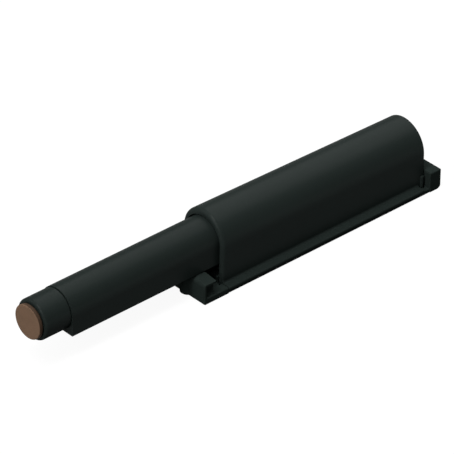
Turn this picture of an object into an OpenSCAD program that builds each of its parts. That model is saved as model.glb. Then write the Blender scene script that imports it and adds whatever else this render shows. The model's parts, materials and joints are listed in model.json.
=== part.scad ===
// Cabinet door damper: a sprung, oil-damped plunger in a housing that clips onto a screw-on plate.
// The length runs along X with the buffer at -X, and Z is up.
// The origin is on the plate's underside, midway between the two screw holes.

/* [Mounting plate] */
// Length of the plate over both end walls
plate_l = 71.2; // [68:0.2:84]
// Width of the plate over the end walls
plate_w = 17.3; // [16.8:0.1:20]
// Thickness of the thin margin under the housing's flange
margin_t = 0.85; // [0.7:0.05:1.1]
// How far the margin stands back under the flange
margin_inset = 0.15; // [0.05:0.05:0.8]
// Height of the raised bed inside the housing
bed_h = 2.4; // [2.2:0.1:2.8]
// Height of the rear wall
wall_h = 5; // [4:0.1:5.2]
// Thickness of the two end walls
wall_t = 3.3; // [2:0.1:4]
// Radius of the upper edges of the rear wall and the boss
wall_edge_r = 0.3; // [0.1:0.05:0.5]
// How far the front wall's top falls from the plunger to its sides
front_fall = 0.45; // [0.2:0.05:0.8]
// Radius of the front wall's upper front edge
front_edge_r = 1.2; // [0.3:0.1:1.6]
// Skin that the hollows in the front wall's sides leave in front and above
front_skin = 0.5; // [0.4:0.05:0.8]
// Radius at the foot of those hollows
hollow_r = 0.6; // [0.3:0.05:1]
// Radius of the plate's upright corners
plate_corner_r = 0.2; // [0.1:0.1:1.2]
// Radius of the plate's lower edge at the closed end
rear_edge_r = 1.2; // [0.4:0.1:1.6]
// Gap between the front wall and the housing's mouth
mouth_gap = 3.6; // [2.5:0.1:5]
// Radius of the half-round boss on the front wall
boss_r = 1.9; // [1.2:0.1:2.4]
// How far the boss stands out of the front wall
boss_out = 0.75; // [0.5:0.05:1.1]
// How far the boss lies to the side of the middle
boss_side = 1.9; // [0:0.1:4]
// Thickness of the rails that carry the plunger
rail_t = 1.1; // [0.8:0.1:1.3]
// Thickness of the stop rib along the slide
stop_rib_t = 2; // [1.5:0.1:2.5]
// Distance between the two screw holes
screw_spacing = 32; // [28:0.5:34]
// Diameter of the screw holes
screw_hole_d = 3.6; // [3:0.1:4]
// Diameter of the countersinks at the top of the bed
screw_head_d = 6.6; // [5.6:0.1:6.8]
// Length of each clip ridge on the bed's sides
clip_l = 8; // [5:0.5:11]
// Distance between the clip ridges of one side
clip_spacing = 34; // [24:1:38]
// How far a clip ridge stands out
clip_out = 0.45; // [0.3:0.05:0.6]

/* [Housing] */
// Width of the housing over its side walls
housing_w = 13.2; // [12.8:0.1:14.4]
// Height of the roof at the mouth
housing_top = 17.25; // [17.1:0.05:18.5]
// How far the roof falls from the mouth to the closed end
roof_fall = 1.25; // [0:0.05:1.4]
// Radius of the mouth's outer edge
mouth_round = 0.9; // [0.4:0.1:1]
// Depth of the wider recess inside the mouth
recess_depth = 2; // [1:0.1:3]
// Gap at the plunger's sides inside that recess
recess_side_gap = 0.65; // [0.4:0.05:1.1]
// Gap above the plunger inside that recess
recess_top_gap = 0.2; // [0.2:0.05:0.6]
// Thinnest roof over the plunger's tail
roof_wall = 0.85; // [0.6:0.05:1]
// Thickness of the closed end
end_skin = 1.2; // [0.8:0.1:2]
// How far the flanges stand out past the plate
flange_over = 0.1; // [0:0.05:0.3]
// Thickness of the flanges on the plate's margin
flange_t = 0.65; // [0.5:0.05:1]
// Radius of the flanges' upper outer edge
flange_edge_r = 0.35; // [0.2:0.05:0.6]
// Radius of the hollow corner between side wall and flange
flange_fillet = 0.5; // [0.3:0.1:0.8]
// Space between the flange's end and the rear wall
notch_l = 1.9; // [1:0.1:3]
// Radius of the upright nubs at the rear lower corners
nub_r = 0.5; // [0.3:0.05:0.7]
// Height of those nubs
nub_h = 2.3; // [1.5:0.1:4]

/* [Plunger] */
// Width of the plunger, round on top and square below
plunger_w = 10; // [9:0.1:10.2]
// Height of the plunger's axis above the plate's underside
axis_h = 10.6; // [10.4:0.05:10.8]
// Length of plunger that shows in front of the mouth at rest
plunger_out = 41.3; // [38:0.1:50]
// Length of plunger inside the mouth at rest
plunger_tail = 15; // [14:0.1:16]
// How far the plunger can be pushed in
stroke = 33; // [26:0.5:34]
// Bore of the plunger
bore_d = 8; // [7.6:0.05:8.2]
// Radius of the plunger's two lower edges
lower_edge_r = 0.2; // [0.1:0.05:0.7]
// Width of the stop foot under the plunger
foot_w = 5; // [3:0.1:6]
// Length of the stop foot
foot_l = 4; // [2.5:0.1:4.5]
// Distance from the mouth back to the foot's front face
foot_back = 8; // [7:0.1:8.5]
// Clearance of the sliding fit between plunger and housing
slide_gap = 0.15; // [0.1:0.01:0.2]

/* [Tip and buffer] */
// Diameter of the round neck
neck_d = 9.7; // [8.6:0.1:9.9]
// Length of the round neck
neck_l = 7.1; // [5:0.1:10]
// Length of the neck's spigot inside the plunger
spigot_l = 3.5; // [2.5:0.1:5]
// Radius of the neck's front edge
neck_edge_r = 0.6; // [0.2:0.05:0.8]
// Width and depth of the groove between neck and plunger
neck_groove = 0.3; // [0.1:0.05:0.4]
// Diameter of the buffer
buffer_d = 8.2; // [7:0.1:8.4]
// How far the buffer stands out of the neck
buffer_out = 1.2; // [1:0.1:2.6]
// Radius of the buffer's rim
buffer_edge_r = 0.2; // [0.1:0.05:0.5]
// Width and depth of the groove between buffer and neck
buffer_groove = 0.35; // [0.15:0.05:0.4]
// Diameter of the buffer's stem
stem_d = 4.8; // [3:0.1:6]
// Length of the buffer's stem
stem_l = 3; // [2:0.1:4]

/* [Damper] */
// Wall of the damper's cylinder
cylinder_wall = 0.75; // [0.5:0.05:0.9]
// Diameter of the piston rod
rod_d = 2.2; // [1.8:0.1:2.4]
// Diameter of the rod's journal inside the piston
journal_d = 1.5; // [1.2:0.05:1.6]
// Depth of the grooves that hold the rod's clips
clip_groove = 0.22; // [0.15:0.01:0.28]
// Thickness of the rod's clips
rod_clip_t = 0.5; // [0.4:0.05:0.6]
// Length of the piston
piston_l = 2.6; // [2:0.1:3]
// Thickness of the valve disc
valve_t = 0.5; // [0.3:0.05:0.6]
// Width of the piston's ring
ring_l = 0.8; // [0.6:0.05:1]
// Length of the rod's guide bush
guide_l = 3; // [2:0.1:4]
// Length of the rod's lip seal
seal_l = 1.5; // [1.2:0.1:2]
// Thickness of the seal's backing washer
washer_t = 0.6; // [0.4:0.05:0.8]
// Thickness of the snap ring that closes the cylinder
end_ring_t = 0.6; // [0.4:0.05:0.8]
// Length of the plug at the cylinder's front
plug_l = 3; // [2.4:0.1:3.4]
// Thickness of the plug's sealing ring
plug_seal_d = 1; // [0.8:0.05:1.1]
// Length of the foam that takes up the rod's volume
foam_l = 3.2; // [2:0.1:3.4]
// Length of the block that anchors the rod
anchor_l = 3; // [2.4:0.1:3.4]

/* [Return spring] */
// Diameter of the spring's wire
wire_d = 0.5; // [0.3:0.05:0.6]
// Mean diameter of the spring's coils
coil_d = 6.2; // [5.4:0.1:7]
// Number of coils
coils = 10; // [6:1:11]
// Thickness of the seat's flange under the spring
seat_t = 1; // [0.7:0.1:1.4]
// Length of the noses that centre the spring
nose_l = 1.5; // [1:0.1:2]
// Thickness of the rebound pad
pad_t = 0.8; // [0.5:0.05:1]

/* [Hidden] */
$fn = 64;

// Allowances: through cuts, seats that touch lightly, running fits and press fits
cut = 1;
seat_gap = 0.05;
run_gap = 0.06;
press_gap = 0.02;
piston_gap = 0.1;
stack_gap = 0.1;

// Colours of the moulded plastic, the insides and the buffer
charcoal = [0.19, 0.22, 0.215];
black = [0.13, 0.15, 0.15];
brown = [0.4, 0.32, 0.26];
steel = [0.72, 0.73, 0.74];
brass = [0.72, 0.6, 0.32];
acetal = [0.86, 0.86, 0.83];
rubber = [0.1, 0.1, 0.1];
foam = [0.35, 0.36, 0.38];

// Places along the plate
x_front = -plate_l / 2;
x_rear = plate_l / 2;
x_wall_back = x_front + wall_t;
x_rear_wall = x_rear - wall_t;
x_mouth = x_wall_back + mouth_gap;
x_end = x_rear_wall - 2 * slide_gap;
housing_l = x_end - x_mouth;
x_skin = x_end - end_skin;

// The housing's drafted outside
arch_r = housing_w / 2;
arch_z = housing_top - arch_r;
draft = atan(roof_fall / housing_l);
flange_z = margin_t + flange_t;
flange_y = plate_w / 2 + flange_over;
flange_round = min(flange_edge_r, flange_t - seat_gap);
margin_y = plate_w / 2 - margin_inset;
function roof_z(x) = housing_top - roof_fall * (x - x_mouth) / housing_l;

// The plunger and the channel that it slides in
plunger_r = plunger_w / 2;
bore_r = bore_d / 2;
channel_r = plunger_r + slide_gap;
plunger_z = axis_h - plunger_r;
x_shoulder = x_mouth - plunger_out;
x_tail = x_mouth + plunger_tail;
x_flat = x_mouth + 2 * slide_gap;
x_step = x_flat + stroke + 2 * slide_gap;
channel_top = min(axis_h + channel_r, roof_z(x_tail + stroke) - roof_wall);
tail_top = min(axis_h + plunger_r, channel_top - slide_gap);
recess_r = plunger_r + recess_side_gap;
recess_z = axis_h + plunger_r + recess_top_gap - recess_r;

// The bed inside the housing, its rails and its stop
bed_r = channel_r - slide_gap;
x_bed0 = x_mouth + slide_gap;
x_bed1 = x_skin - slide_gap;
rail_y = bed_r - rail_t;
rail_top = plunger_z - slide_gap;
front_h = rail_top - front_fall;
hollow_top = front_h - front_skin;
hollow_y = plate_w / 2 - flange_round - stack_gap;
x_rail0 = x_mouth + recess_depth + cut;
x_anchor0 = x_skin - seat_gap - anchor_l;
x_foot = x_mouth + foot_back;
x_pad = x_foot - seat_gap - pad_t;
x_rib = x_pad - stop_rib_t;
foot_z = bed_h + 4 * slide_gap;
rib_top = plunger_z - 2 * slide_gap;
rib_w = 2 * (rail_y - slide_gap);

// The tip
neck_r = neck_d / 2;
spigot_r = bore_r - seat_gap;
x_neck = x_shoulder - neck_l;
x_buffer = x_neck - buffer_out;
stem_r = stem_d / 2;
buffer_r = buffer_d / 2;

// The damper, from its plug to its snap ring
cylinder_r = bore_r - seat_gap;
inner_r = cylinder_r - cylinder_wall;
fill_r = inner_r - seat_gap;
rod_r = rod_d / 2;
journal_r = journal_d / 2;
x_cylinder0 = x_shoulder + spigot_l + stack_gap;
x_cylinder1 = x_tail - seat_t - stack_gap;
x_ring = x_cylinder1 - 2 * stack_gap - end_ring_t;
x_guide = x_ring - stack_gap - guide_l;
x_seal = x_guide - stack_gap - seal_l;
x_washer = x_seal - stack_gap - washer_t;
x_rod_step = x_washer - 5 * stack_gap;
x_valve = x_rod_step - valve_t;
x_piston = x_valve - piston_l;
x_piston_ring = x_piston + (piston_l - ring_l) / 2;
x_piston_clip = x_piston - rod_clip_t;
x_rod_tip = x_piston_clip - 4 * stack_gap;
x_plug1 = x_cylinder0 + plug_l;
x_foam1 = x_plug1 + stack_gap + foam_l;
piston_r = inner_r - piston_gap;
ring_r = inner_r - run_gap / 2;
groove_r = 0.8 * piston_r;

// The rod's anchor at the closed end
anchor_r = channel_r - 2 * seat_gap;
clip_pocket = rod_clip_t + 6 * stack_gap;
clip_r = 2 * rod_r;
x_anchor1 = x_anchor0 + anchor_l;
x_anchor_clip = x_anchor1 - clip_pocket + seat_gap;
x_rod_end = x_anchor1 - 2 * stack_gap;

// The return spring between its two seats
nose_r = (coil_d - wire_d) / 2 - slide_gap;
x_spring0 = x_tail + seat_t;
x_spring1 = x_anchor0;
coil_steps = 16;
wire_sides = 8;

// Moves an outline drawn across Y and Z so that it runs along X from x0 to x1.
module along_x(x0, x1) {
    translate([x0, 0, 0])
        rotate([90, 0, 90])
            linear_extrude(height = x1 - x0)
                children();
}

// A round bar on the plunger's axis.
module bar_x(x0, x1, r) {
    translate([x0, 0, axis_h])
        rotate([0, 90, 0])
            cylinder(h = x1 - x0, r = r);
}

// A tube on the plunger's axis.
module tube_x(x0, x1, r_out, r_in) {
    difference() {
        bar_x(x0, x1, r_out);
        bar_x(x0 - cut, x1 + cut, r_in);
    }
}

// A turned piece: the outline's first axis is the radius, its second runs along X from x0.
module turned_x(x0) {
    translate([x0, 0, axis_h])
        rotate([0, 90, 0])
            rotate_extrude()
                children();
}

// An outline that stands on its first axis, with round upper corners of radius r.
module soft_top(w, h, r) {
    translate([-w / 2, 0])
        square([w, h - r]);
    translate([r - w / 2, 0])
        square([w - 2 * r, h]);
    for (s = [-1, 1])
        translate([s * (w / 2 - r), h - r])
            circle(r);
}

// Half a disc's section with a round lower edge of radius e.
module round_edge_disc(r, t, e) {
    square([r - e, t]);
    translate([0, e])
        square([r, t - e]);
    translate([r - e, e])
        circle(e);
}

// An arch: a circle with straight sides below it.
module arch(r, below) {
    circle(r);
    translate([-r, -below])
        square([2 * r, below]);
}

// A rectangle with round corners.
module round_rectangle(l, w, r) {
    square([l - 2 * r, w], center = true);
    square([l, w - 2 * r], center = true);
    for (sx = [-1, 1], sy = [-1, 1])
        translate([sx * (l / 2 - r), sy * (w / 2 - r)])
            circle(r);
}

// The plunger's outline: round on top, square below with two small round edges.
module plunger_outline() {
    circle(plunger_r);
    translate([-plunger_r, lower_edge_r - plunger_r])
        square([plunger_w, plunger_r - lower_edge_r]);
    translate([lower_edge_r - plunger_r, -plunger_r])
        square([plunger_w - 2 * lower_edge_r, plunger_r]);
    for (s = [-1, 1])
        translate([s * (plunger_r - lower_edge_r), lower_edge_r - plunger_r])
            circle(lower_edge_r);
}

// Everything below a given height, for cutting an outline flat.
module below(z) {
    translate([-plunger_w, z - 4 * plunger_w])
        square([2 * plunger_w, 4 * plunger_w]);
}

// The plate's plan, standing back between its end walls.
module margin_plan() {
    difference() {
        round_rectangle(plate_l, plate_w, plate_corner_r);
        for (s = [-1, 1])
            translate([(x_wall_back + x_rear_wall) / 2, s * (margin_y + cut)])
                square([x_rear_wall - x_wall_back, 2 * cut], center = true);
    }
}

// The rear wall: soft upper edges all round.
module rear_wall() {
    intersection() {
        linear_extrude(height = wall_h)
            round_rectangle(plate_l, plate_w, plate_corner_r);
        along_x(x_rear_wall, x_rear)
            soft_top(plate_w, wall_h, wall_edge_r);
        translate([x_rear - wall_t / 2, 0, 0])
            rotate([90, 0, 0])
                linear_extrude(height = 2 * plate_w, center = true)
                    soft_top(wall_t, wall_h, wall_edge_r);
    }
}

// The front wall's outline: high where the plunger runs over it, falling away to both sides.
module front_outline() {
    side_y = plate_w / 2;
    polygon([[-side_y, 0], [side_y, 0], [side_y, front_h], [plunger_r, rail_top], [-plunger_r, rail_top],
        [-side_y, front_h]]);
}

// The hollow in one side of the front wall, with a round foot on the sill.
module side_hollow() {
    translate([hollow_y, flange_z + hollow_r])
        circle(hollow_r);
    translate([hollow_y, 0])
        square([plate_w, hollow_top]);
    translate([hollow_y - hollow_r, flange_z + hollow_r])
        square([plate_w, hollow_top - flange_z - hollow_r]);
}

// The front wall: a skin in front, a body with a hollow in each side, and a round upper front edge.
module front_wall() {
    intersection() {
        linear_extrude(height = rail_top)
            round_rectangle(plate_l, plate_w, plate_corner_r);
        union() {
            along_x(x_front, x_front + front_skin)
                front_outline();
            along_x(x_front, x_wall_back)
                difference() {
                    front_outline();
                    for (side = [0, 1])
                        mirror([side, 0])
                            side_hollow();
                }
        }
        translate([x_front, 0, 0])
            rotate([90, 0, 0])
                linear_extrude(height = 2 * plate_w, center = true) {
                    square([wall_t, rail_top - front_edge_r]);
                    translate([front_edge_r, 0])
                        square([wall_t - front_edge_r, rail_top]);
                    translate([front_edge_r, rail_top - front_edge_r])
                        circle(front_edge_r);
                }
    }
}

// The half-round boss on the front wall.
module boss() {
    translate([x_front - boss_out + boss_r, -boss_side, front_h])
        mirror([0, 0, 1])
            rotate_extrude()
                round_edge_disc(boss_r, front_h, wall_edge_r);
}

// The sill from the front wall's skin to the mouth, with room for the mouth's foot.
module sill() {
    difference() {
        along_x(x_front + front_skin / 2, x_mouth)
            soft_top(plate_w, flange_z, flange_round);
        translate([x_mouth - mouth_round, -arch_r, margin_t])
            cube([mouth_round + cut, housing_w, flange_t + cut]);
    }
}

// What comes off the plate to round its lower edge at the closed end.
module rear_edge_cut() {
    rotate([90, 0, 0])
        linear_extrude(height = 2 * plate_w, center = true)
            translate([x_rear - rear_edge_r, 0])
                difference() {
                    translate([0, -cut])
                        square([rear_edge_r + cut, rear_edge_r + cut]);
                    translate([0, rear_edge_r])
                        circle(rear_edge_r);
                }
}

// A countersunk screw hole through the bed.
module screw_hole() {
    sink = (screw_head_d - screw_hole_d) / 2;
    translate([0, 0, -cut])
        cylinder(h = bed_h + 2 * cut, d = screw_hole_d);
    translate([0, 0, bed_h - sink])
        cylinder(h = sink, d1 = screw_hole_d, d2 = screw_head_d);
    translate([0, 0, bed_h])
        cylinder(h = wall_h, d = screw_head_d);
}

// The section of a clip ridge, or of the groove that takes it.
module clip_section(root, out, half) {
    middle = (margin_t + bed_h) / 2;
    polygon([[root - cut, middle - half], [root, middle - half], [root + out, middle],
        [root, middle + half], [root - cut, middle + half]]);
}

module clip_ridges(root, out, half, extra) {
    reach = clip_l / 2 + extra;
    for (middle = [-clip_spacing / 2, clip_spacing / 2], side = [0, 1])
        mirror([0, side, 0])
            along_x(middle - reach, middle + reach)
                clip_section(root, out, half);
}

module mounting_plate() {
    color(black)
        difference() {
            union() {
                linear_extrude(height = margin_t)
                    margin_plan();
                front_wall();
                rear_wall();
                boss();
                sill();
                translate([x_bed0, -bed_r, 0])
                    cube([x_bed1 - x_bed0, 2 * bed_r, bed_h]);
                for (y = [-bed_r, rail_y])
                    translate([x_rail0, y, 0])
                        cube([x_anchor0 - slide_gap - x_rail0, rail_t, rail_top]);
                translate([x_rib, -rib_w / 2, 0])
                    cube([stop_rib_t, rib_w, rib_top]);
                clip_ridges(bed_r, clip_out, clip_out, 0);
            }
            for (s = [-1, 1])
                translate([s * screw_spacing / 2, 0, 0])
                    screw_hole();
            rear_edge_cut();
        }
}

// The housing's outside in its own drafted frame: a rounded mouth, then a plain arch.
module housing_outside() {
    translate([x_mouth, 0, arch_z])
        rotate([0, draft, 0]) {
            along_x(mouth_round, housing_l + cut)
                arch(arch_r, arch_z);
            rotate([90, 0, 90])
                rotate_extrude(angle = 180)
                    intersection() {
                        round_edge_disc(arch_r, 2 * mouth_round, mouth_round);
                        square([arch_r, mouth_round]);
                    }
            translate([0, 0, -arch_z])
                linear_extrude(height = arch_z)
                    intersection() {
                        translate([arch_r, 0])
                            round_rectangle(housing_w, housing_w, mouth_round);
                        translate([0, -arch_r])
                            square([mouth_round, housing_w]);
                    }
        }
}

// One side's flange: a round outer edge and a hollow corner against the side wall.
module flange_section() {
    intersection() {
        soft_top(2 * flange_y, flange_z, flange_round);
        translate([channel_r, margin_t])
            square([flange_y, flange_t]);
    }
    translate([arch_r, flange_z])
        difference() {
            translate([-cut, 0])
                square([flange_fillet + cut, flange_fillet]);
            translate([flange_fillet, flange_fillet])
                circle(flange_fillet);
        }
}

module housing() {
    color(charcoal)
        difference() {
            union() {
                intersection() {
                    housing_outside();
                    translate([x_mouth - cut, -housing_w, margin_t])
                        cube([housing_l + cut, 2 * housing_w, 2 * housing_top]);
                }
                for (side = [0, 1])
                    mirror([0, side, 0]) {
                        along_x(x_mouth + slide_gap, x_rear_wall - notch_l)
                            flange_section();
                        translate([x_end - nub_r, arch_r, margin_t])
                            cylinder(h = flange_t + nub_h, r = nub_r);
                    }
            }
            along_x(x_mouth - cut, x_step)
                translate([0, axis_h])
                    arch(channel_r, axis_h);
            along_x(x_step - cut, x_skin)
                intersection() {
                    translate([0, axis_h])
                        arch(channel_r, axis_h);
                    below(channel_top);
                }
            along_x(x_mouth - cut, x_mouth + recess_depth)
                translate([0, recess_z])
                    arch(recess_r, recess_z);
            clip_ridges(channel_r, clip_out, clip_out + seat_gap, slide_gap);
        }
}

module plunger() {
    color(charcoal)
        difference() {
            union() {
                along_x(x_shoulder, x_flat)
                    translate([0, axis_h])
                        plunger_outline();
                along_x(x_flat - cut, x_tail)
                    intersection() {
                        translate([0, axis_h])
                            plunger_outline();
                        below(tail_top);
                    }
                translate([x_foot, -foot_w / 2, foot_z])
                    cube([foot_l, foot_w, plunger_z + lower_edge_r - foot_z]);
            }
            bar_x(x_shoulder - cut, x_tail + cut, bore_r);
        }
}

module tip_sleeve() {
    color(charcoal)
        difference() {
            union() {
                turned_x(x_neck)
                    round_edge_disc(neck_r, neck_l - neck_groove, neck_edge_r);
                bar_x(x_neck + neck_l / 2, x_shoulder, neck_r - neck_groove);
                bar_x(x_neck + neck_l / 2, x_shoulder + spigot_l, spigot_r);
            }
            bar_x(x_neck - cut, x_neck + stem_l + stack_gap, stem_r + press_gap);
        }
}

module buffer_pad() {
    color(brown) {
        turned_x(x_buffer)
            round_edge_disc(buffer_r, buffer_out - buffer_groove, buffer_edge_r);
        bar_x(x_neck - buffer_out / 2, x_neck, buffer_r - buffer_groove);
        bar_x(x_neck - buffer_out / 2, x_neck + stem_l, stem_r);
    }
}

module rod_anchor() {
    color(acetal)
        difference() {
            union() {
                along_x(x_anchor0, x_anchor1)
                    difference() {
                        intersection() {
                            translate([0, axis_h])
                                arch(anchor_r, axis_h);
                            below(channel_top - 2 * seat_gap);
                        }
                        below(bed_h);
                    }
                bar_x(x_anchor0 - nose_l, x_anchor0 + cut, nose_r);
            }
            bar_x(x_anchor0 - nose_l - cut, x_anchor1 + cut, rod_r + press_gap);
            bar_x(x_anchor1 - clip_pocket, x_anchor1 + cut, clip_r + 2 * seat_gap);
        }
}

// A spring clip: a ring with one side open, snapped into a groove of the rod.
module rod_clip(x0, r_in, r_out) {
    difference() {
        tube_x(x0, x0 + rod_clip_t - seat_gap, r_out, r_in);
        translate([x0 - cut, -0.8 * r_in, axis_h])
            cube([rod_clip_t + 2 * cut, 1.6 * r_in, 2 * r_out]);
    }
}

module anchor_clip() {
    color(steel)
        rod_clip(x_anchor_clip, rod_r - clip_groove + press_gap, clip_r);
}

module piston_rod() {
    color(steel)
        difference() {
            union() {
                bar_x(x_rod_tip, x_rod_step + cut, journal_r);
                bar_x(x_rod_step, x_rod_end, rod_r);
            }
            tube_x(x_piston_clip, x_piston_clip + rod_clip_t, rod_d, journal_r - clip_groove);
            tube_x(x_anchor_clip - seat_gap, x_anchor_clip + rod_clip_t, rod_d, rod_r - clip_groove);
        }
}

module piston() {
    orifice_r = 0.35;
    orifices = 4;
    color(acetal)
        difference() {
            bar_x(x_piston, x_valve, piston_r);
            bar_x(x_piston - cut, x_valve + cut, journal_r + press_gap);
            tube_x(x_piston_ring - seat_gap, x_piston_ring + ring_l + seat_gap, 2 * piston_r, groove_r);
            for (i = [0 : orifices - 1])
                translate([x_piston - cut, 0, axis_h])
                    rotate([i * 360 / orifices, 0, 0])
                        translate([0, 0, (journal_r + groove_r) / 2])
                            rotate([0, 90, 0])
                                cylinder(h = piston_l + 2 * cut, r = orifice_r);
        }
}

module piston_ring() {
    color(rubber)
        tube_x(x_piston_ring, x_piston_ring + ring_l, ring_r, groove_r + press_gap);
}

module valve_disc() {
    color(brass)
        tube_x(x_valve, x_rod_step, groove_r, journal_r + press_gap);
}

module piston_clip() {
    color(steel)
        rod_clip(x_piston_clip, journal_r - clip_groove + press_gap, 2 * journal_r);
}

module damper_cylinder() {
    color(steel)
        tube_x(x_cylinder0, x_cylinder1, cylinder_r, inner_r);
}

module cylinder_plug() {
    middle = x_cylinder0 + plug_l / 2;
    color(acetal)
        difference() {
            bar_x(x_cylinder0, x_plug1, fill_r);
            tube_x(middle - plug_seal_d / 2 - seat_gap, middle + plug_seal_d / 2 + seat_gap,
                2 * fill_r, inner_r - plug_seal_d - seat_gap);
        }
}

module plug_seal() {
    color(rubber)
        turned_x(x_cylinder0 + plug_l / 2)
            translate([inner_r - press_gap - plug_seal_d / 2, 0])
                circle(d = plug_seal_d);
}

module compensator() {
    color(foam)
        tube_x(x_plug1 + stack_gap, x_foam1, fill_r, rod_r);
}

module rod_guide() {
    color(acetal)
        tube_x(x_guide, x_guide + guide_l, fill_r, rod_r + run_gap);
}

// The lip seal: a ring with a groove in its oil side, so that the pressure spreads its lips.
module rod_seal() {
    lip = seal_l / 2;
    r_in = rod_r + run_gap;
    middle = (fill_r + r_in) / 2;
    color(rubber)
        turned_x(x_seal)
            polygon([[r_in, 0], [middle - lip / 2, 0], [middle, lip], [middle + lip / 2, 0], [fill_r, 0],
                [fill_r, seal_l], [r_in, seal_l]]);
}

module seal_washer() {
    color(steel)
        tube_x(x_washer, x_washer + washer_t, fill_r, rod_r + 2 * run_gap);
}

module end_ring() {
    color(steel)
        tube_x(x_ring, x_ring + end_ring_t, fill_r, rod_r + 4 * run_gap);
}

module spring_seat() {
    color(acetal)
        difference() {
            union() {
                bar_x(x_tail - seat_t, x_spring0 - seat_gap, spigot_r);
                bar_x(x_tail + seat_gap, x_spring0, tail_top - axis_h);
                bar_x(x_tail, x_spring0 + nose_l, nose_r);
            }
            bar_x(x_tail - seat_t - cut, x_spring0 + nose_l + cut, rod_r + 2 * slide_gap);
        }
}

// Place of the wire's centre along X after some turns: a closed coil at each end, even pitch between.
function coil_x(turn) =
    let (first = x_spring0 + seat_gap + wire_d / 2)
    let (last = x_spring1 - seat_gap - wire_d / 2)
    let (pitch = (last - first - 2 * wire_d) / (coils - 2))
    turn < 1 ? first + turn * wire_d
    : turn > coils - 1 ? last - (coils - turn) * wire_d
    : first + wire_d + (turn - 1) * pitch;

function wire_point(i, j) =
    let (angle = 360 * i / coil_steps)
    let (around = 360 * j / wire_sides)
    let (r = coil_d / 2 + wire_d / 2 * cos(around))
    [coil_x(i / coil_steps) + wire_d / 2 * sin(around), r * cos(angle), axis_h + r * sin(angle)];

module return_spring() {
    rings = coils * coil_steps;
    points = [for (i = [0 : rings], j = [0 : wire_sides - 1]) wire_point(i, j)];
    sides = [for (i = [0 : rings - 1], j = [0 : wire_sides - 1])
        let (k = (j + 1) % wire_sides)
        [i * wire_sides + j, i * wire_sides + k, (i + 1) * wire_sides + k, (i + 1) * wire_sides + j]];
    first_end = [for (j = [wire_sides - 1 : -1 : 0]) j];
    last_end = [for (j = [0 : wire_sides - 1]) rings * wire_sides + j];
    color(steel)
        polyhedron(points = points, faces = concat([first_end], sides, [last_end]), convexity = 2 * coils);
}

module rebound_pad() {
    color(rubber)
        translate([x_pad, -foot_w / 2, bed_h])
            cube([pad_t, foot_w, rib_top - bed_h]);
}

mounting_plate();
housing();
plunger();
tip_sleeve();
buffer_pad();
rod_anchor();
anchor_clip();
piston_rod();
piston();
piston_ring();
valve_disc();
piston_clip();
damper_cylinder();
cylinder_plug();
plug_seal();
compensator();
rod_guide();
rod_seal();
seal_washer();
end_ring();
spring_seat();
return_spring();
rebound_pad();
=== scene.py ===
"""A cabinet door damper on a pale floor, with its plunger out and the brown buffer on the tip."""
import json
import math

import bpy
from mathutils import Matrix, Vector


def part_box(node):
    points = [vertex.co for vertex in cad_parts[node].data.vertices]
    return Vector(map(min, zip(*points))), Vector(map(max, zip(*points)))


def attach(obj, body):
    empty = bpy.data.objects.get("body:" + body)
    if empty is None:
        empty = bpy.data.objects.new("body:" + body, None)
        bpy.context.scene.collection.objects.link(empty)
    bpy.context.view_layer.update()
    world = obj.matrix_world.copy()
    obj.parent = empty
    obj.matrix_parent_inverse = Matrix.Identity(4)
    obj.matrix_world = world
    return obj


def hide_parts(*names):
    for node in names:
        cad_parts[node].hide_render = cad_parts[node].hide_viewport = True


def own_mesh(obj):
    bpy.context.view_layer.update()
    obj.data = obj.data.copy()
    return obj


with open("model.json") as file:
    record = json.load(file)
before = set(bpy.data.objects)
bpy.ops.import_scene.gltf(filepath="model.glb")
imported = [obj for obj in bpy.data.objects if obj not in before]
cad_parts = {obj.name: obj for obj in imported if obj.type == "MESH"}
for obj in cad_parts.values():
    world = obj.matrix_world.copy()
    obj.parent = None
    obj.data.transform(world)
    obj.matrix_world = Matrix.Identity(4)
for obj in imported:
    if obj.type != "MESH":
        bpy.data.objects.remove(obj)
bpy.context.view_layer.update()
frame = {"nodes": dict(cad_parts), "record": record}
NODES = frame["nodes"]
MM = 0.001

# The picture's frame, in pixels
IMAGE_SIZE = 454
MIDDLE_PIXEL = (IMAGE_SIZE - 1) / 2

# The camera: it looks from the buffer's end, down onto the housing's near side
AZIMUTH = math.radians(-41.84)
ELEVATION = math.radians(34.32)
ROLL = math.radians(0.373)
DISTANCE = 1.0
PIXELS_PER_METRE = 4564.7
SENSOR = 36.0
NEAR_CLIP = 0.01
FAR_CLIP = 20
# The foot of the housing's mouth on the part, and the pixel at which it lies
MOUTH = Vector((-28.7 * MM, 0, 0))
MOUTH_PIXEL = (201.69, 276.11)

# The light: soft lamps overhead, behind, in front and on the far side, a dim surround and a white floor
TOP_PLACE = Vector((-0.25, -0.05, 0.75))
TOP_SIZE = (0.2, 0.6)
TOP_POWER = 3.5
BACK_PLACE = Vector((0.64, 0.21, 0.6))
BACK_SIZE = (1.05, 0.75)
BACK_POWER = 4.7
FRONT_PLACE = Vector((-0.72, -0.18, 0.44))
FRONT_SIZE = (0.5, 0.5)
FRONT_POWER = 2.7
SIDE_PLACE = Vector((-0.5, 0.56, 0.5))
SIDE_SIZE = (0.5, 0.5)
SIDE_POWER = 1.3
SURROUND = 0.1
FLOOR_COLOUR = 0.1
FLOOR_GLOW = 0.93
FLOOR_HALF = 1.5
FLOOR_DROP = 0.05 * MM

# The return spring, which the slide squeezes
SPRING_TURNS = 10
SPRING_STEPS = 40
WIRE_SIDES = 12
WIRE_R = 0.25 * MM

# The colours, in linear light
CHARCOAL = (0.0175, 0.024, 0.022)
PLATE = (0.02, 0.0275, 0.025)
BROWN = (0.195, 0.12, 0.077)
MILKY = (0.72, 0.71, 0.66)
STEEL = (0.55, 0.56, 0.57)
ALUMINIUM = (0.7, 0.71, 0.72)
BRASS = (0.6, 0.42, 0.16)
BLACK = (0.012, 0.012, 0.012)
FOAM_GREY = (0.11, 0.115, 0.125)

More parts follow.
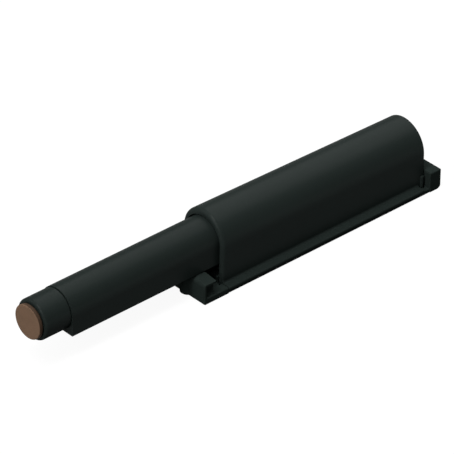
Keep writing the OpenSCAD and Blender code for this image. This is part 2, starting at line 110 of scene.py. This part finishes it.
# Rounded edges: rays a point, and the cosines between which a point counts as near an edge
BEVEL_SAMPLES = 6
EDGE_COSINES = (0.75, 0.99)

# Moulded plastic: the radius of its edges; painted shade: its share of sheen underneath and at the foot, and
# their limits
PLASTIC_EDGE = 0.15 * MM
UNDER_SHADE_SHEEN = 0.16
UNDER_SHADE_TURN = (-0.45, 0.9)
FOOT_SHADE_SHEEN = 0.1
FOOT_SHADE_FADE = (1.4 * MM, 2.4 * MM)

# The pad: the radius of its edge, and the turn of the surface over which painted shade darkens its side
PAD_EDGE = 0.2 * MM
PAD_SIDE_SHADE = (-0.75, -0.35)

# The sockets of a colour mix, which share their names with those for numbers
MIX_FIRST = 6
MIX_SECOND = 7
MIX_RESULT = 2


def make_camera():
    """Places the camera so that the foot of the housing's mouth falls on its pixel, with no lens shift."""
    back = Vector((
        math.sin(AZIMUTH) * math.cos(ELEVATION),
        -math.cos(AZIMUTH) * math.cos(ELEVATION),
        math.sin(ELEVATION),
    ))
    right = Vector((math.cos(AZIMUTH), math.sin(AZIMUTH), 0))
    up = back.cross(right)
    turned_right = right * math.cos(ROLL) + up * math.sin(ROLL)
    turned_up = up * math.cos(ROLL) - right * math.sin(ROLL)
    aim = MOUTH + turned_right * ((MIDDLE_PIXEL - MOUTH_PIXEL[0]) / PIXELS_PER_METRE)
    aim += turned_up * ((MOUTH_PIXEL[1] - MIDDLE_PIXEL) / PIXELS_PER_METRE)
    place = MOUTH + back * DISTANCE
    view = (place - aim).normalized()
    across = turned_up.cross(view).normalized()
    upright = view.cross(across)
    data = bpy.data.cameras.new("camera")
    data.sensor_width = SENSOR
    data.lens = PIXELS_PER_METRE * DISTANCE / IMAGE_SIZE * SENSOR
    data.clip_start = NEAR_CLIP
    data.clip_end = FAR_CLIP
    camera = bpy.data.objects.new("camera", data)
    turn = Matrix((across, upright, view)).transposed().to_4x4()
    camera.matrix_world = Matrix.Translation(place) @ turn
    bpy.context.scene.collection.objects.link(camera)
    bpy.context.scene.camera = camera


class Finish:
    """A node material with its Principled shader, and short calls that add nodes to it."""

    def __init__(self, name):
        self.material = bpy.data.materials.new(name)
        self.material.use_nodes = True
        self.tree = self.material.node_tree
        self.shader = self.tree.nodes["Principled BSDF"]

    def node(self, kind, settings=None, **inputs):
        """Adds a node; each input is a plain value or another node's output socket."""
        made = self.tree.nodes.new(kind)
        for key, value in (settings or {}).items():
            setattr(made, key, value)
        for key, value in inputs.items():
            self.feed(made, key.replace("_", " "), value)
        return made

    def feed(self, node, socket, value):
        """Sets a node's input, or links it where the value is an output socket."""
        if isinstance(value, bpy.types.NodeSocket):
            self.tree.links.new(value, node.inputs[socket])
        else:
            node.inputs[socket].default_value = value

    def shade(self, **inputs):
        """Feeds the shader's inputs."""
        for key, value in inputs.items():
            self.feed(self.shader, key.replace("_", " "), value)

    def place(self):
        """The point on the object, in metres."""
        return self.node("ShaderNodeTexCoord").outputs["Object"]

    def height(self):
        """The height of the point on the object, in metres."""
        return self.node("ShaderNodeSeparateXYZ", Vector=self.place()).outputs["Z"]

    def outward(self):
        """The direction that the surface faces, as its X, Y and Z."""
        normal = self.node("ShaderNodeNewGeometry").outputs["Normal"]
        return self.node("ShaderNodeSeparateXYZ", Vector=normal).outputs

    def noise(self, scale, detail=3.0, roughness=0.5, stretch=(1, 1, 1)):
        """A noise from 0 to 1, in features of about one over scale metres, drawn out by stretch."""
        point = self.node("ShaderNodeMapping", Vector=self.place(), Scale=stretch).outputs["Vector"]
        made = self.node("ShaderNodeTexNoise", Vector=point, Scale=scale, Detail=detail, Roughness=roughness)
        return made.outputs["Fac"]

    def spread(self, value, low, high, start=0.3, end=0.7):
        """Maps a value between start and end to the range from low to high."""
        limits = {"From_Min": start, "From_Max": end, "To_Min": low, "To_Max": high}
        return self.node("ShaderNodeMapRange", Value=value, **limits).outputs["Result"]

    def product(self, first, second):
        """Two values multiplied."""
        made = self.node("ShaderNodeMath", {"operation": "MULTIPLY"})
        self.tree.links.new(first, made.inputs[0])
        self.tree.links.new(second, made.inputs[1])
        return made.outputs["Value"]

    def blend(self, factor, first, second):
        """A colour between two, each a plain colour or a socket."""
        made = self.node("ShaderNodeMix", {"data_type": "RGBA"})
        self.tree.links.new(factor, made.inputs["Factor"])
        for index, colour in ((MIX_FIRST, first), (MIX_SECOND, second)):
            socket = made.inputs[index]
            if isinstance(colour, bpy.types.NodeSocket):
                self.tree.links.new(colour, socket)
            else:
                socket.default_value = (*colour, 1)
        return made.outputs[MIX_RESULT]

    def soft_edges(self, radius):
        """The normal with edges rounded over a radius, and how near an edge a point lies, 0 to 1."""
        rounded = self.node("ShaderNodeBevel", {"samples": BEVEL_SAMPLES}, Radius=radius).outputs["Normal"]
        true = self.node("ShaderNodeNewGeometry").outputs["Normal"]
        dot = self.node("ShaderNodeVectorMath", {"operation": "DOT_PRODUCT"})
        self.tree.links.new(rounded, dot.inputs[0])
        self.tree.links.new(true, dot.inputs[1])
        edge = self.spread(dot.outputs["Value"], 1.0, 0.0, *EDGE_COSINES)
        return rounded, edge

    def bump(self, height, depth, strength, normal=None):
        """Raises the surface by a noise of a given depth in metres."""
        made = self.node("ShaderNodeBump", Height=height, Distance=depth, Strength=strength)
        if normal is not None:
            self.tree.links.new(normal, made.inputs["Normal"])
        self.tree.links.new(made.outputs["Normal"], self.shader.inputs["Normal"])


def tinted(colour, factor):
    """A colour made lighter or darker."""
    return tuple(channel * factor for channel in colour)


def moulded_plastic(name, colour, roughness, gloss, paint_foot_shade=False):
    """Satin moulded plastic: fine grain, faint flow clouds, and a painted highlight along the edges.

    The sheen is a thin coat; painted shade weakens it where the surface faces down and, if asked, near the
    floor.
    """
    finish = Finish(name)
    normal, edge = finish.soft_edges(PLASTIC_EDGE)
    grain = finish.noise(5200, 2.0, 0.6)
    clouds = finish.noise(150, 4.0, 0.55, (0.35, 1, 1))
    body = finish.blend(finish.spread(clouds, 0, 1), tinted(colour, 0.94), tinted(colour, 1.06))
    speckled = finish.blend(finish.spread(grain, 0, 0.35), body, tinted(colour, 1.3))
    # Paler edges: a painted highlight
    painted_edge_highlight = finish.blend(finish.spread(edge, 0, 0.5, 0, 1), speckled, tinted(colour, 1.5))
    finish.shade(Base_Color=painted_edge_highlight, Roughness=finish.spread(clouds, roughness - 0.04, roughness + 0.05))
    # Painted shade: the sheen is weakened where the surface faces down and near the floor
    sheen = finish.spread(finish.outward()["Z"], UNDER_SHADE_SHEEN * gloss, gloss, *UNDER_SHADE_TURN)
    if paint_foot_shade:
        painted_foot_shade = finish.spread(finish.height(), FOOT_SHADE_SHEEN, 1, *FOOT_SHADE_FADE)
        sheen = finish.product(sheen, painted_foot_shade)
    finish.shade(Specular_IOR_Level=0.0)
    finish.shade(Coat_Weight=sheen, Coat_Roughness=roughness, Coat_Normal=normal)
    finish.bump(grain, 0.012 * MM, 0.35, normal)
    return finish.material


def soft_pad(name, colour):
    """Matt brown pad: close grain with lighter flecks, a painted highlight on its rim and painted shade on
    its side.
    """
    finish = Finish(name)
    normal, edge = finish.soft_edges(PAD_EDGE)
    grain = finish.noise(3600, 3.0, 0.65)
    clouds = finish.noise(420, 3.0, 0.5)
    body = finish.blend(finish.spread(clouds, 0, 1), tinted(colour, 0.92), tinted(colour, 1.08))
    flecked = finish.blend(finish.spread(grain, 0, 0.6), body, tinted(colour, 1.22))
    # The paler rim is a painted highlight
    painted_rim_highlight = finish.blend(finish.spread(edge, 0, 0.5, 0, 1), flecked, tinted(colour, 1.25))
    # The darker side is painted shade
    side = finish.spread(finish.outward()["X"], 0, 1, *PAD_SIDE_SHADE)
    painted_side_shade = finish.blend(side, painted_rim_highlight, tinted(colour, 0.35))
    finish.shade(Base_Color=painted_side_shade, Roughness=finish.spread(grain, 0.7, 0.85))
    finish.shade(Specular_IOR_Level=0.1)
    finish.bump(grain, 0.03 * MM, 0.5, normal)
    return finish.material


def drawn_metal(name, colour, roughness):
    """Drawn or turned metal: fine lines along the length and a faint stain."""
    finish = Finish(name)
    normal, edge = finish.soft_edges(0.06 * MM)
    lines = finish.noise(2600, 3.0, 0.6, (0.04, 1, 1))
    stain = finish.noise(300, 3.0, 0.5)
    body = finish.blend(finish.spread(stain, 0, 1), tinted(colour, 0.9), colour)
    bright = finish.blend(finish.spread(edge, 0, 0.6, 0, 1), body, tinted(colour, 1.1))
    finish.shade(Base_Color=bright, Metallic=1.0)
    finish.shade(Roughness=finish.spread(lines, roughness, roughness + 0.15))
    finish.bump(lines, 0.004 * MM, 0.4, normal)
    return finish.material


def natural_acetal(name, colour):
    """Milky moulded plastic with a faint flow pattern."""
    finish = Finish(name)
    normal, edge = finish.soft_edges(0.08 * MM)
    flow = finish.noise(500, 4.0, 0.5, (0.4, 1, 1))
    body = finish.blend(finish.spread(flow, 0, 1), tinted(colour, 0.95), colour)
    bright = finish.blend(finish.spread(edge, 0, 0.3, 0, 1), body, tinted(colour, 1.05))
    finish.shade(Base_Color=bright, Roughness=finish.spread(flow, 0.35, 0.45))
    finish.bump(finish.noise(4200, 2.0), 0.006 * MM, 0.3, normal)
    return finish.material


def moulded_rubber(name, colour):
    """Matt black rubber with a dusty bloom."""
    finish = Finish(name)
    normal, edge = finish.soft_edges(0.08 * MM)
    bloom = finish.noise(700, 4.0, 0.6)
    body = finish.blend(finish.spread(bloom, 0, 1), colour, tinted(colour, 1.6))
    pale = finish.blend(finish.spread(edge, 0, 0.5, 0, 1), body, tinted(colour, 2))
    finish.shade(Base_Color=pale, Roughness=finish.spread(bloom, 0.65, 0.85), Specular_IOR_Level=0.2)
    finish.bump(finish.noise(5000, 2.0), 0.01 * MM, 0.4, normal)
    return finish.material


def cell_foam(name, colour):
    """Closed-cell foam: round pores over the whole surface."""
    finish = Finish(name)
    pores = finish.node("ShaderNodeTexVoronoi", Vector=finish.place(), Scale=2400.0).outputs["Distance"]
    body = finish.blend(finish.spread(pores, 0, 1, 0.1, 0.7), tinted(colour, 0.55), tinted(colour, 1.15))
    finish.shade(Base_Color=body, Roughness=finish.spread(pores, 0.95, 0.8, 0, 0.7))
    finish.shade(Specular_IOR_Level=0.1)
    finish.bump(pores, 0.08 * MM, 0.8)
    return finish.material


def make_floor():
    """A wide pale floor under the plate: white to the eye, with the object's shadow on it."""
    mesh = bpy.data.meshes.new("floor")
    half = FLOOR_HALF
    corners = [(-half, -half), (half, -half), (half, half), (-half, half)]
    mesh.from_pydata([(x, y, -FLOOR_DROP) for x, y in corners], [], [(0, 1, 2, 3)])
    floor = bpy.data.objects.new("floor", mesh)
    bpy.context.scene.collection.objects.link(floor)
    finish = Finish("floor")
    path = finish.node("ShaderNodeLightPath").outputs
    seen = path["Is Camera Ray"]
    for ray in ("Is Glossy Ray", "Is Transmission Ray"):
        either = finish.node("ShaderNodeMath", {"operation": "MAXIMUM"})
        finish.tree.links.new(seen, either.inputs[0])
        finish.tree.links.new(path[ray], either.inputs[1])
        seen = either.outputs["Value"]
    glow = finish.node("ShaderNodeMath", {"operation": "MULTIPLY"})
    finish.tree.links.new(seen, glow.inputs[0])
    glow.inputs[1].default_value = FLOOR_GLOW
    finish.shade(Base_Color=(FLOOR_COLOUR, FLOOR_COLOUR, FLOOR_COLOUR, 1))
    finish.shade(Roughness=0.9, Specular_IOR_Level=0.0)
    finish.shade(Emission_Color=(1, 1, 1, 1), Emission_Strength=glow.outputs["Value"])
    mesh.materials.append(finish.material)


def make_lamp(name, place, size, power):
    """A soft lamp of a given width and length that faces the part."""
    data = bpy.data.lights.new(name, "AREA")
    data.shape = "RECTANGLE"
    data.size, data.size_y = size
    data.energy = power
    lamp = bpy.data.objects.new(name, data)
    lamp.location = place
    lamp.rotation_euler = place.to_track_quat("Z", "Y").to_euler()
    bpy.context.scene.collection.objects.link(lamp)


def make_light():
    """Four soft lamps and a dim even surround."""
    world = bpy.data.worlds.new("surround")
    world.use_nodes = True
    background = world.node_tree.nodes["Background"]
    background.inputs["Color"].default_value = (1, 1, 1, 1)
    background.inputs["Strength"].default_value = SURROUND
    bpy.context.scene.world = world
    make_lamp("top_lamp", TOP_PLACE, TOP_SIZE, TOP_POWER)
    make_lamp("back_lamp", BACK_PLACE, BACK_SIZE, BACK_POWER)
    make_lamp("front_lamp", FRONT_PLACE, FRONT_SIZE, FRONT_POWER)
    make_lamp("side_lamp", SIDE_PLACE, SIDE_SIZE, SIDE_POWER)


def spring_mesh(low, high):
    """A round wire wound between two faces: a closed coil at each end and an even pitch between."""
    centre = (low + high) / 2
    radius = (high.y - low.y) / 2 - WIRE_R
    first = low.x + WIRE_R
    last = high.x - WIRE_R
    pitch = (last - first - 4 * WIRE_R) / (SPRING_TURNS - 2)

    def wire_x(turn):
        if turn < 1:
            return first + turn * 2 * WIRE_R
        if turn > SPRING_TURNS - 1:
            return last - (SPRING_TURNS - turn) * 2 * WIRE_R
        return first + 2 * WIRE_R + (turn - 1) * pitch

    rings = SPRING_TURNS * SPRING_STEPS + 1
    points = []
    for i in range(rings):
        angle = math.tau * i / SPRING_STEPS
        for j in range(WIRE_SIDES):
            around = math.tau * j / WIRE_SIDES
            r = radius + WIRE_R * math.cos(around)
            x = wire_x(i / SPRING_STEPS) + WIRE_R * math.sin(around)
            points.append((x, centre.y + r * math.cos(angle), centre.z + r * math.sin(angle)))
    faces = [tuple(reversed(range(WIRE_SIDES)))]
    for i in range(rings - 1):
        for j in range(WIRE_SIDES):
            k = (j + 1) % WIRE_SIDES
            a = i * WIRE_SIDES
            b = a + WIRE_SIDES
            faces.append((a + j, a + k, b + k, b + j))
    faces.append(tuple((rings - 1) * WIRE_SIDES + j for j in range(WIRE_SIDES)))
    mesh = bpy.data.meshes.new("spring_wire")
    mesh.from_pydata(points, [], faces)
    mesh.shade_smooth()
    return mesh


def make_spring(material):
    """The return spring as a smooth wire fixed to the base, in place of the model's spring."""
    low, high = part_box("return_spring")
    mesh = spring_mesh(low, high)
    mesh.materials.append(material)
    spring = bpy.data.objects.new("return_spring_wire", mesh)
    bpy.context.scene.collection.objects.link(spring)
    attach(spring, "base")
    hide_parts("return_spring")
    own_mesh(spring)


FINISHES = {
    "plate_plastic": moulded_plastic("plate_plastic", PLATE, 0.45, 0.015, True),
    "housing_plastic": moulded_plastic("housing_plastic", CHARCOAL, 0.36, 0.16, True),
    "plunger_plastic": moulded_plastic("plunger_plastic", tinted(CHARCOAL, 0.9), 0.34, 0.16),
    "buffer": soft_pad("buffer", BROWN),
    "acetal": natural_acetal("acetal", MILKY),
    "steel": drawn_metal("steel", STEEL, 0.22),
    "aluminium": drawn_metal("aluminium", ALUMINIUM, 0.3),
    "brass": drawn_metal("brass", BRASS, 0.28),
    "rubber": moulded_rubber("rubber", BLACK),
    "foam": cell_foam("foam", FOAM_GREY),
}


def dress():
    """Gives each node the finish of its slot."""
    for part in frame["record"]["subparts"]:
        node = NODES[part["node"]]
        node.data.materials.clear()
        node.data.materials.append(FINISHES[part["material_slot"]])


bpy.context.scene.view_settings.view_transform = "Standard"
make_camera()
make_floor()
make_light()
dress()
make_spring(FINISHES["steel"])
